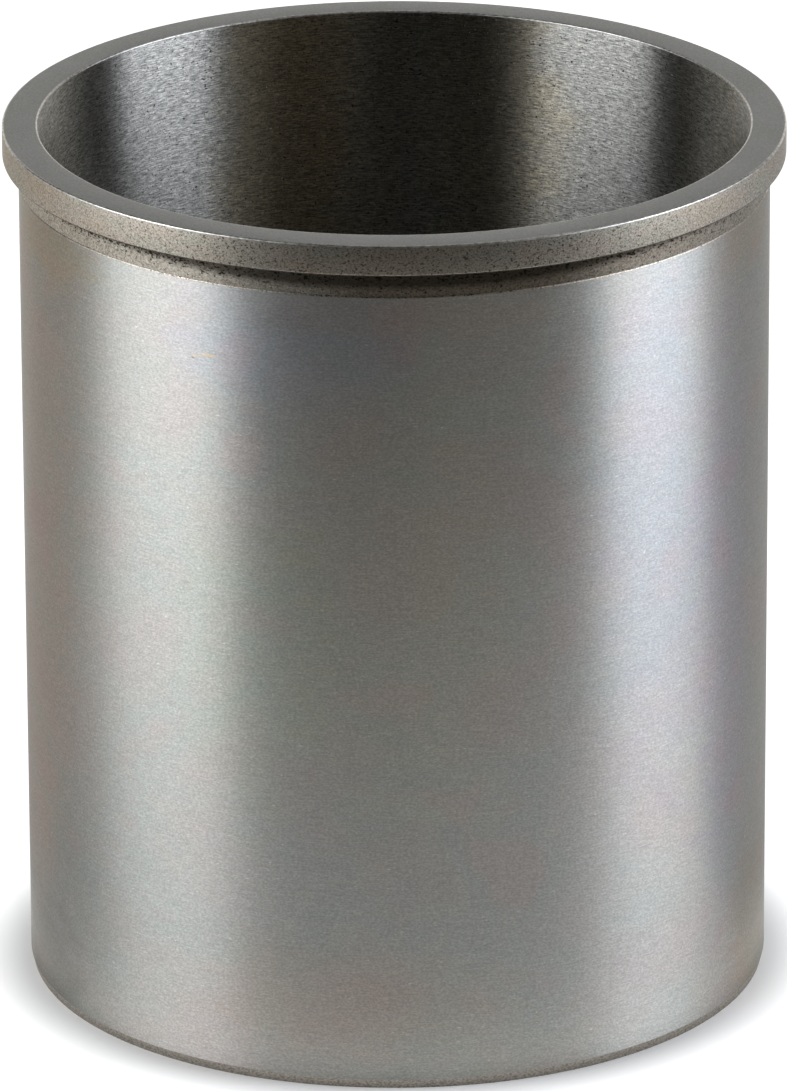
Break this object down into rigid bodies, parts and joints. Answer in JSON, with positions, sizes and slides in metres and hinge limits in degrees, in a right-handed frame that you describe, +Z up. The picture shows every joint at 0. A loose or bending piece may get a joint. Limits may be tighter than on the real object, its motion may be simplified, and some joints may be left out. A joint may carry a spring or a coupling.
{
  "type": "cylinder liner",
  "caption": "Thin-walled dry cylinder liner with a small top flange, a turned neck under it, a ground barrel, a shallow lead cone at the foot and a plain through bore.",
  "frame": {"origin": "centre of the foot, on the bore's axis, so the liner stands on z = 0", "axes": "+Z up along the bore's axis, towards the flange; the liner is turned, so X and Y are free"},
  "size_m": [0.099, 0.099, 0.1125],
  "materials": {
    "grey_iron": "grey iron, ground barrel, fine-bored bore, finely faced top, turned flange rim and neck with an open grain"
  },
  "bodies": {
    "root": {"cylinder_liner": "grey_iron"}
  },
  "joints": []
}
